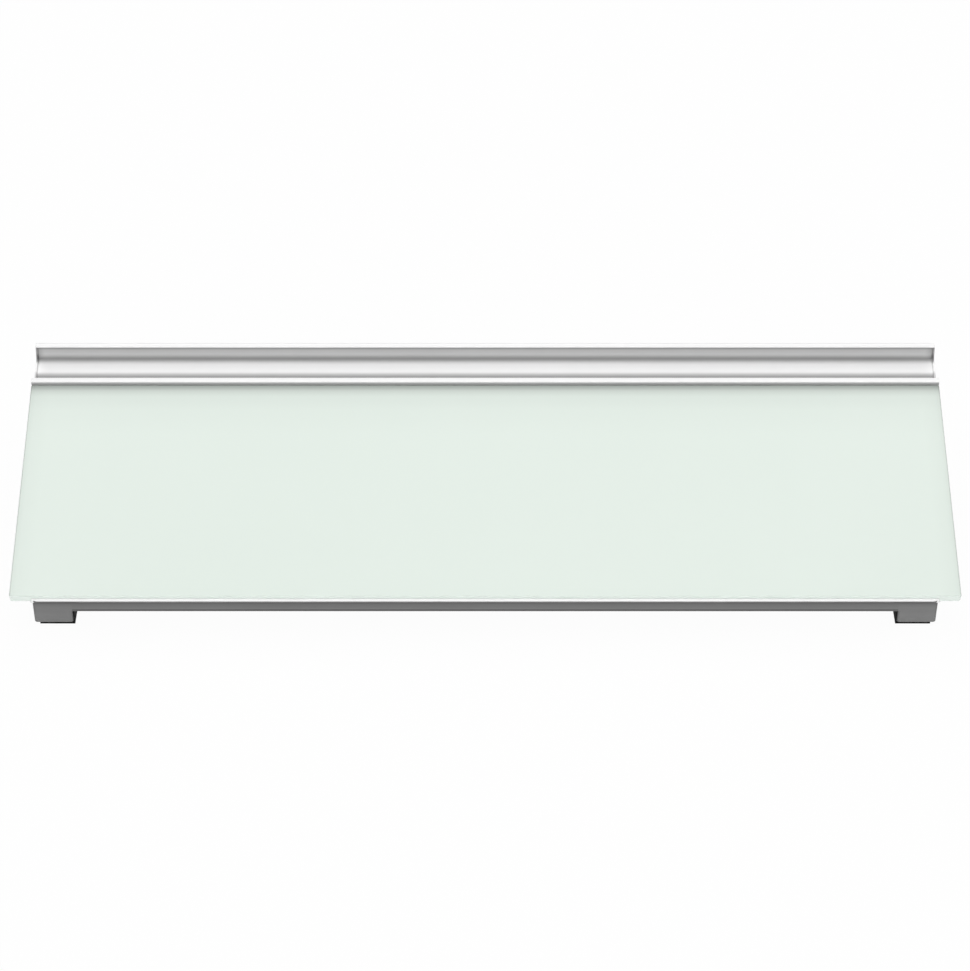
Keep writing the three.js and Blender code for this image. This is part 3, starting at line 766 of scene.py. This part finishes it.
class Tree:
    """A geometry node tree with named inputs."""

    def __init__(self, name):
        self.group = bpy.data.node_groups.new(name, "GeometryNodeTree")
        self.group.interface.new_socket("Geometry", in_out="INPUT", socket_type="NodeSocketGeometry")
        self.group.interface.new_socket("Geometry", in_out="OUTPUT", socket_type="NodeSocketGeometry")
        self.input = self.add("NodeGroupInput")
        self.output = self.add("NodeGroupOutput")

    def add(self, kind, **values):
        node = self.group.nodes.new(kind)
        for key, value in values.items():
            setattr(node, key, value)
        return node

    def join(self, source, output, target, socket):
        self.group.links.new(source.outputs[output], target.inputs[socket])

    def sizes(self, **kinds):
        """Adds named inputs, each of its kind of socket."""
        for name, kind in kinds.items():
            self.group.interface.new_socket(name, in_out="INPUT", socket_type="NodeSocket" + kind)

    def coated(self, source, output):
        """Ends the tree with its material on a result."""
        coat = self.add("GeometryNodeSetMaterial")
        self.join(source, output, coat, "Geometry")
        self.join(self.input, "Material", coat, "Material")
        self.join(coat, "Geometry", self.output, "Geometry")
        return self

    def run(self, piece, **sizes):
        """Runs the tree on a piece and keeps the result as a plain mesh."""
        modifier = piece.modifiers.new(self.group.name, "NODES")
        modifier.node_group = self.group
        sockets = {item.name: item.identifier for item in self.group.interface.items_tree
                   if item.in_out == "INPUT"}
        for name, value in sizes.items():
            modifier[sockets[name]] = value
        graph = bpy.context.evaluated_depsgraph_get()
        made = bpy.data.meshes.new_from_object(piece.evaluated_get(graph))
        piece.modifiers.remove(modifier)
        piece.data = made


def sweep_tree():
    """Profile in the XY plane with a radius at each corner, filled, made thick and stood across the board."""
    tree = Tree("profile_sweep")
    tree.sizes(Width="Float", Fillets="Int", Material="Material")
    outline = tree.add("GeometryNodeMeshToCurve")
    tree.join(tree.input, "Geometry", outline, "Mesh")
    radius = tree.add("GeometryNodeInputNamedAttribute", data_type="FLOAT")
    radius.inputs["Name"].default_value = "corner_radius"
    fillet = tree.add("GeometryNodeFilletCurve", mode="POLY")
    tree.join(outline, "Curve", fillet, "Curve")
    tree.join(radius, "Attribute", fillet, "Radius")
    tree.join(tree.input, "Fillets", fillet, "Count")
    fill = tree.add("GeometryNodeFillCurve", mode="NGONS")
    tree.join(fillet, "Curve", fill, "Curve")
    reach = tree.add("ShaderNodeCombineXYZ")
    tree.join(tree.input, "Width", reach, "Z")
    thick = tree.add("GeometryNodeExtrudeMesh")
    thick.inputs["Individual"].default_value = False
    thick.inputs["Offset Scale"].default_value = 1.0
    tree.join(fill, "Mesh", thick, "Mesh")
    tree.join(reach, "Vector", thick, "Offset")
    back = tree.add("GeometryNodeFlipFaces")
    tree.join(fill, "Mesh", back, "Mesh")
    both = tree.add("GeometryNodeJoinGeometry")
    tree.join(thick, "Mesh", both, "Geometry")
    tree.join(back, "Mesh", both, "Geometry")
    weld = tree.add("GeometryNodeMergeByDistance")
    weld.inputs["Distance"].default_value = WELD_REACH
    tree.join(both, "Geometry", weld, "Geometry")
    half = tree.add("ShaderNodeMath", operation="MULTIPLY")
    half.inputs[1].default_value = -0.5
    tree.join(tree.input, "Width", half, 0)
    shift = tree.add("ShaderNodeCombineXYZ")
    tree.join(half, "Value", shift, "X")
    stand = tree.add("GeometryNodeTransform")
    stand.inputs["Rotation"].default_value = (math.pi / 2, 0, math.pi / 2)
    tree.join(weld, "Geometry", stand, "Geometry")
    tree.join(shift, "Vector", stand, "Translation")
    real = tree.add("GeometryNodeRealizeInstances")
    tree.join(stand, "Geometry", real, "Geometry")
    return tree.coated(real, "Geometry")


def swept_moulding(tree, name, corners, width, material):
    """Runs a closed profile of (y, z, radius) corners across the board."""
    mesh = bpy.data.meshes.new(name)
    count = len(corners)
    edges = [(index, (index + 1) % count) for index in range(count)]
    mesh.from_pydata([(y, z, 0) for y, z, _ in corners], edges, [])
    radii = mesh.attributes.new("corner_radius", "FLOAT", "POINT")
    radii.data.foreach_set("value", [radius for _, _, radius in corners])
    piece = link(name, mesh)
    tree.run(piece, Width=width, Fillets=FILLET_POINTS, Material=material)
    work = bmesh.new()
    work.from_mesh(piece.data)
    bmesh.ops.recalc_face_normals(work, faces=work.faces)
    piece.data = mesh_from(name, work)
    recoat(piece, material)
    return piece


def tray_profile():
    """Shelf behind the pane, ridge, pen tray and rear rim."""
    step = RIDGE_BACK_Y - TRAY_FLOOR_THICKNESS
    foot = RIDGE_FRONT_Y + BED_TOP_DEPTH * math.sin(PANE_TILT)
    return [
        (RIDGE_FRONT_Y, RIDGE_TOP_Z, RIDGE_EDGE_RADIUS),
        (RIDGE_FRONT_Y, plane_height(RIDGE_FRONT_Y, 0), 0),
        (foot, plane_height(foot, BED_TOP_DEPTH), 0),
        (SHELF_FRONT_Y, plane_height(SHELF_FRONT_Y, BED_TOP_DEPTH), 0),
        (SHELF_FRONT_Y, plane_height(SHELF_FRONT_Y, BED_UNDER_DEPTH), 0),
        (step, plane_height(step, BED_UNDER_DEPTH), 0),
        (step, plane_height(step, TRAY_UNDER_DEPTH), 0),
        (RIM_BACK_Y, plane_height(RIM_BACK_Y, TRAY_UNDER_DEPTH), RIM_EDGE_RADIUS),
        (RIM_BACK_Y, plane_height(RIM_BACK_Y, 0), RIM_EDGE_RADIUS),
        (RIM_FRONT_Y, plane_height(RIM_FRONT_Y, 0), BEAD_EDGE_RADIUS),
        (RIM_FRONT_Y, BEAD_BOTTOM_Z, BEAD_EDGE_RADIUS),
        (WALL_TOP_Y, BEAD_BOTTOM_Z, 0),
        (WALL_FOOT_Y, plane_height(WALL_FOOT_Y, TRAY_DEPTH), TRAY_REAR_COVE),
        (RIDGE_BACK_Y, plane_height(RIDGE_BACK_Y, TRAY_DEPTH), TRAY_FRONT_COVE),
        (RIDGE_BACK_Y, RIDGE_TOP_Z, RIDGE_EDGE_RADIUS),
    ]


def tray_end_profile():
    """Low wall that closes an end of the tray."""
    buried_depth = TRAY_DEPTH + TRAY_FLOOR_THICKNESS / 2
    buried_front = RIDGE_BACK_Y - TRAY_FLOOR_THICKNESS / 2
    top_depth = TRAY_DEPTH - TRAY_END_RISE
    turn = WALL_FOOT_Y - TRAY_END_RISE
    return [
        (buried_front, plane_height(buried_front, buried_depth), 0),
        (WALL_TOP_Y, plane_height(WALL_TOP_Y, buried_depth), 0),
        (WALL_TOP_Y, BEAD_BOTTOM_Z, 0),
        (RIM_FRONT_Y, BEAD_BOTTOM_Z, 0),
        (turn, plane_height(turn, top_depth), TRAY_REAR_COVE),
        (RIDGE_BACK_Y, plane_height(RIDGE_BACK_Y, top_depth), TRAY_FRONT_COVE),
        (RIDGE_BACK_Y, RIDGE_TOP_Z - RIDGE_EDGE_RADIUS, 0),
        (buried_front, RIDGE_TOP_Z - RIDGE_EDGE_RADIUS, 0),
    ]


def bed_profile():
    """Bed under the pane with its low front lip."""
    lip_top = GLASS_FRONT_Z - LIP_DROP
    lip_back = GLASS_FRONT_Y + LIP_DROP * math.tan(PANE_TILT) - LIP_GAP / math.cos(PANE_TILT)
    nose_under = BED_TOP_DEPTH + NOSE_THICKNESS
    step = base_low.y
    return [
        (LIP_FRONT_Y, lip_top - LIP_FACE, LIP_EDGE),
        (NOSE_Y, plane_height(NOSE_Y, nose_under), 0),
        (step, plane_height(step, nose_under), 0),
        (step, plane_height(step, BED_UNDER_DEPTH), 0),
        (SHELF_FRONT_Y, plane_height(SHELF_FRONT_Y, BED_UNDER_DEPTH), 0),
        (SHELF_FRONT_Y, plane_height(SHELF_FRONT_Y, BED_TOP_DEPTH), 0),
        (CORNER_Y, plane_height(CORNER_Y, BED_TOP_DEPTH), 0),
        (lip_back, lip_top, LIP_EDGE),
        (LIP_FRONT_Y, lip_top, LIP_EDGE),
    ]


def round_bed_corners(bed):
    """Trims the bed to a plan with rounded corners."""
    work = bmesh.new()
    plan = rounded_plan(BASE_HALF, LIP_FRONT_Y, RIM_BACK_Y, BED_CORNER_RADIUS, PANE_CORNER_STEPS)
    under = work.faces.new([work.verts.new((x, y, 0)) for x, y in plan])
    top = bmesh.ops.extrude_face_region(work, geom=[under])["geom"]
    raised = [item for item in top if isinstance(item, bmesh.types.BMVert)]
    bmesh.ops.translate(work, verts=raised, vec=(0, 0, shell_high.z))
    bmesh.ops.recalc_face_normals(work, faces=work.faces)
    combine(bed, mesh_from("bed_plan", work), "INTERSECT")
    recoat(bed, BED_PLASTIC)


def build_top_shell():
    """Tray moulding with rounded ends, and the bed that it carries under the pane."""
    tree = sweep_tree()
    tray = swept_moulding(tree, "tray_moulding", tray_profile(), GLASS_HALF * 2, TRAY_PLASTIC)
    add_bevel(tray, SHELL_EDGE)
    settle(tray, "base", "white_plastic", "top_shell")
    for side, end in ((-1, "left"), (1, "right")):
        wall = swept_moulding(tree, "tray_end_" + end, tray_end_profile(), TRAY_END_THICKNESS,
                              TRAY_END_PLASTIC)
        middle = side * (GLASS_HALF - TRAY_END_THICKNESS / 2)
        wall.data.transform(Matrix.Translation((middle, 0, 0)))
        add_bevel(wall, END_WALL_EDGE)
        settle(wall, "base", "white_plastic", "top_shell")
    bed = swept_moulding(tree, "glass_bed", bed_profile(), BASE_HALF * 2, BED_PLASTIC)
    round_bed_corners(bed)
    shade_round(bed.data)
    settle(bed, "base", "white_plastic", "top_shell")


# Mouldings finished from the frame's own shape


def finished_moulding(name, node, body, slot, material, edge, carve=None):
    """Copy of a frame node with its flats joined up, carved where that is asked, and its edges rounded."""
    work = bmesh.new()
    work.from_mesh(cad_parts[node].data)
    bmesh.ops.remove_doubles(work, verts=work.verts, dist=WELD_REACH)
    bmesh.ops.dissolve_limit(work, angle_limit=math.radians(FLAT_DEGREES), verts=work.verts, edges=work.edges)
    bmesh.ops.recalc_face_normals(work, faces=work.faces)
    piece = link(name, mesh_from(name, work))
    recoat(piece, material)
    if carve:
        carve(piece, node)
    add_bevel(piece, edge)
    settle(piece, body, slot, node)


def groove_tree():
    """Cuts a row of equal bars out of a mesh."""
    tree = Tree("sole_grooves")
    tree.sizes(Count="Int", Start="Vector", Step="Vector", Bar="Vector", Material="Material")
    row = tree.add("GeometryNodeMeshLine", mode="OFFSET")
    tree.join(tree.input, "Count", row, "Count")
    tree.join(tree.input, "Start", row, "Start Location")
    tree.join(tree.input, "Step", row, "Offset")
    bar = tree.add("GeometryNodeMeshCube")
    tree.join(tree.input, "Bar", bar, "Size")
    place = tree.add("GeometryNodeInstanceOnPoints")
    tree.join(row, "Mesh", place, "Points")
    tree.join(bar, "Mesh", place, "Instance")
    real = tree.add("GeometryNodeRealizeInstances")
    tree.join(place, "Instances", real, "Geometry")
    cut = tree.add("GeometryNodeMeshBoolean", operation="DIFFERENCE")
    tree.join(tree.input, "Geometry", cut, "Mesh 1")
    tree.join(real, "Geometry", cut, "Mesh 2")
    return tree.coated(cut, "Mesh")


def grooves(tree):
    """A step that cuts grip grooves across the underside of a sole."""
    def carve(piece, node):
        low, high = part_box(node)
        step = (high.y - low.y) / (GROOVE_COUNT + 1)
        length = high.x - low.x - GROOVE_END_INSET * 2
        tree.run(piece, Count=GROOVE_COUNT, Start=((low.x + high.x) / 2, low.y + step, low.z),
                 Step=(0, step, 0), Bar=(length, GROOVE_WIDTH, GROOVE_DEPTH * 2), Material=BLACK_RUBBER)
        recoat(piece, BLACK_RUBBER)
    return carve


def build_mouldings():
    """Base, drawer, runners, dividers and soles."""
    finished_moulding("base_moulding", "base_shell", "base", "grey_plastic", BASE_PLASTIC, BASE_EDGE)
    finished_moulding("drawer_tub", "drawer_box", "drawer", "grey_plastic", DRAWER_PLASTIC, SMALL_EDGE)
    # The drawer front wears the base plastic, painted shade and all, so that it matches the base when the
    # drawer is shut.
    finished_moulding("drawer_panel", "drawer_front", "drawer", "grey_plastic", BASE_PLASTIC, SMALL_EDGE)
    for node in ("runner_front", "runner_rear"):
        finished_moulding(node + "_strip", node, "base", "pale_plastic", PALE_PLASTIC, SMALL_EDGE)
    for node in ("drawer_divider_long", "drawer_divider_cross"):
        finished_moulding(node + "_wall", node, "drawer", "pale_plastic", PALE_PLASTIC, SMALL_EDGE)
    carve = grooves(groove_tree())
    for end in ("left", "right"):
        for row in ("front", "rear"):
            node = f"foot_boot_{row}_{end}"
            finished_moulding(node + "_sole", node, "base", "black_rubber", BLACK_RUBBER, SOLE_EDGE, carve)


# Screws


def box_mesh(name, width, depth, height):
    """Box centred on the origin."""
    work = bmesh.new()
    bmesh.ops.create_cube(work, size=1.0)
    bmesh.ops.scale(work, vec=(width, depth, height), verts=work.verts)
    return mesh_from(name, work)


def screw_pattern(name, radius, head_height, length):
    """Pan-head screw that points along +Z, with the face of its head at the origin."""
    shank = radius * SHANK_SHARE
    profile = [(radius * out, head_height * up) for out, up in HEAD_SHAPE_SHARES]
    profile += [(shank, head_height), (shank, length - shank), (shank / 2, length)]
    work = bmesh.new()
    rings = []
    for ring_radius, height in profile:
        turns = [math.tau * side / SCREW_SIDES for side in range(SCREW_SIDES)]
        rings.append([work.verts.new((ring_radius * math.cos(turn), ring_radius * math.sin(turn), height))
                      for turn in turns])
    work.faces.new(rings[0])
    work.faces.new(rings[-1])
    for lower, upper in zip(rings, rings[1:]):
        for side in range(SCREW_SIDES):
            after = (side + 1) % SCREW_SIDES
            work.faces.new((lower[side], lower[after], upper[after], upper[side]))
    bmesh.ops.recalc_face_normals(work, faces=work.faces)
    screw = link(name, mesh_from(name, work))
    arm = radius * RECESS_WIDTH_SHARE
    reach = radius * RECESS_LENGTH_SHARE
    depth = head_height * RECESS_DEPTH_SHARE * 2
    for width, across in ((arm, reach), (reach, arm)):
        combine(screw, box_mesh("recess", width, across, depth), "DIFFERENCE")
    return screw


def copies_tree():
    """Sets a copy of a piece on each point of a mesh."""
    tree = Tree("copies_on_points")
    tree.sizes(Copy="Object", Turn="Vector", Material="Material")
    source = tree.add("GeometryNodeObjectInfo")
    tree.join(tree.input, "Copy", source, "Object")
    place = tree.add("GeometryNodeInstanceOnPoints")
    tree.join(tree.input, "Geometry", place, "Points")
    tree.join(source, "Geometry", place, "Instance")
    tree.join(tree.input, "Turn", place, "Rotation")
    real = tree.add("GeometryNodeRealizeInstances")
    tree.join(place, "Instances", real, "Geometry")
    return tree.coated(real, "Geometry")


def build_screw_set(tree, name, body, nodes, pattern, heads, turn):
    """One piece that holds a copy of a screw at each head's place."""
    mesh = bpy.data.meshes.new(name)
    mesh.from_pydata(heads, [], [])
    piece = link(name, mesh)
    tree.run(piece, Copy=pattern, Turn=turn, Material=PLATED_STEEL)
    bpy.data.objects.remove(pattern)
    recoat(piece, PLATED_STEEL)
    shade_round(piece.data)
    settle(piece, body, "screw_steel", *nodes)


def build_screws():
    """The screws under the base, then the two that hold the drawer's front."""
    tree = copies_tree()
    nodes = [f"screw_{row}_{place}" for row in ("front", "rear") for place in ("left", "middle", "right")]
    boxes = [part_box(node) for node in nodes]
    low, high = boxes[0]
    pattern = screw_pattern("base_screw", (high.x - low.x) / 2, BASE_SCREW_HEAD, high.z - low.z)
    heads = [((low.x + high.x) / 2, (low.y + high.y) / 2, low.z) for low, high in boxes]
    build_screw_set(tree, "base_screws", "base", nodes, pattern, heads, (0, 0, 0))
    nodes = ["drawer_screw_1", "drawer_screw_2"]
    boxes = [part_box(node) for node in nodes]
    low, high = boxes[0]
    pattern = screw_pattern("drawer_screw", (high.z - low.z) / 2, DRAWER_SCREW_HEAD, high.x - low.x)
    heads = [(low.x, (low.y + high.y) / 2, (low.z + high.z) / 2) for low, high in boxes]
    build_screw_set(tree, "drawer_screws", "drawer", nodes, pattern, heads, (0, math.pi / 2, 0))


def dress_nodes():
    """Gives the frame's nodes whose shape is already right their finish."""
    for name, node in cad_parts.items():
        if name.startswith("drawer_bumper_"):
            recoat(node, BLACK_RUBBER)
        elif name.startswith("glass_tape_"):
            recoat(node, FOAM_TAPE)


# Camera, floor and light


def build_camera():
    data = bpy.data.cameras.new("camera")
    data.sensor_width = SENSOR_WIDTH
    data.lens = SENSOR_WIDTH * FOCAL_PIXELS / PICTURE_LONG_SIDE
    data.clip_start = CAMERA_NEAR
    data.clip_end = CAMERA_FAR
    camera = bpy.data.objects.new("camera", data)
    camera.location = (CAMERA_SIDE, -CAMERA_BACK, CAMERA_HEIGHT)
    camera.rotation_euler = (math.pi / 2 - CAMERA_ELEVATION, 0, 0)
    bpy.context.scene.collection.objects.link(camera)
    bpy.context.scene.camera = camera


def seen_white(tree, lit, share):
    """Mixes a lit surface with plain white for what the camera, gloss and clear pieces see."""
    path = tree.nodes.new("ShaderNodeLightPath")
    seen = tree.nodes.new("ShaderNodeMath")
    seen.operation = "MAXIMUM"
    tree.links.new(path.outputs["Is Camera Ray"], seen.inputs[0])
    tree.links.new(path.outputs["Is Glossy Ray"], seen.inputs[1])
    clear = tree.nodes.new("ShaderNodeMath")
    clear.operation = "MAXIMUM"
    tree.links.new(seen.outputs[0], clear.inputs[0])
    tree.links.new(path.outputs["Is Transmission Ray"], clear.inputs[1])
    part = tree.nodes.new("ShaderNodeMath")
    part.operation = "MULTIPLY"
    part.inputs[1].default_value = share
    tree.links.new(clear.outputs[0], part.inputs[0])
    white = tree.nodes.new("ShaderNodeEmission")
    white.inputs["Color"].default_value = grey(1.0)
    white.inputs["Strength"].default_value = 1.0
    mix = tree.nodes.new("ShaderNodeMixShader")
    tree.links.new(part.outputs[0], mix.inputs["Fac"])
    tree.links.new(lit, mix.inputs[1])
    tree.links.new(white.outputs[0], mix.inputs[2])
    return mix


FLOOR_HALF = 6.0
FLOOR_ALBEDO = 0.85
FLOOR_WHITE_SHARE = 0.97
WORLD_FILL = 0.04
SOFTBOX_SIDE = 3.6
SOFTBOX_PLACE = (0, 0.4, 2.4)
SOFTBOX_POWER = 83.0
FRONT_LIGHT_WIDTH = 3.0
FRONT_LIGHT_DEPTH = 0.7
FRONT_LIGHT_PLACE = (0, -2.5, 0.38)
FRONT_LIGHT_AIM = math.radians(82)
FRONT_LIGHT_POWER = 36.5


def build_floor():
    material = bpy.data.materials.new("floor")
    material.use_nodes = True
    tree = material.node_tree
    tree.nodes.clear()
    lit = tree.nodes.new("ShaderNodeBsdfDiffuse")
    lit.inputs["Color"].default_value = grey(FLOOR_ALBEDO)
    output = tree.nodes.new("ShaderNodeOutputMaterial")
    mix = seen_white(tree, lit.outputs[0], FLOOR_WHITE_SHARE)
    tree.links.new(mix.outputs[0], output.inputs["Surface"])
    mesh = bpy.data.meshes.new("floor")
    half = FLOOR_HALF
    corners = [(-half, -half, 0), (half, -half, 0), (half, half, 0), (-half, half, 0)]
    mesh.from_pydata(corners, [], [range(len(corners))])
    mesh.materials.append(material)
    link("floor", mesh)


def build_world():
    world = bpy.data.worlds.new("studio")
    world.use_nodes = True
    tree = world.node_tree
    tree.nodes.clear()
    fill = tree.nodes.new("ShaderNodeBackground")
    fill.inputs["Color"].default_value = grey(1.0)
    fill.inputs["Strength"].default_value = WORLD_FILL
    output = tree.nodes.new("ShaderNodeOutputWorld")
    mix = seen_white(tree, fill.outputs[0], 1.0)
    tree.links.new(mix.outputs[0], output.inputs["Surface"])
    bpy.context.scene.world = world


def add_softbox(name, width, depth, power, place, turn):
    """Rectangular soft light that shines straight down before it is turned about X."""
    data = bpy.data.lights.new(name, "AREA")
    data.shape = "RECTANGLE"
    data.size = width
    data.size_y = depth
    data.energy = power
    lamp = bpy.data.objects.new(name, data)
    lamp.location = place
    lamp.rotation_euler = (turn, 0, 0)
    bpy.context.scene.collection.objects.link(lamp)


def build_lights():
    add_softbox("top_softbox", SOFTBOX_SIDE, SOFTBOX_SIDE, SOFTBOX_POWER, SOFTBOX_PLACE, 0)
    add_softbox("front_softbox", FRONT_LIGHT_WIDTH, FRONT_LIGHT_DEPTH, FRONT_LIGHT_POWER,
                FRONT_LIGHT_PLACE, FRONT_LIGHT_AIM)


build_camera()
build_floor()
build_world()
build_lights()
bpy.context.scene.view_settings.view_transform = "Standard"

build_pane()
build_top_shell()
build_mouldings()
build_screws()
dress_nodes()
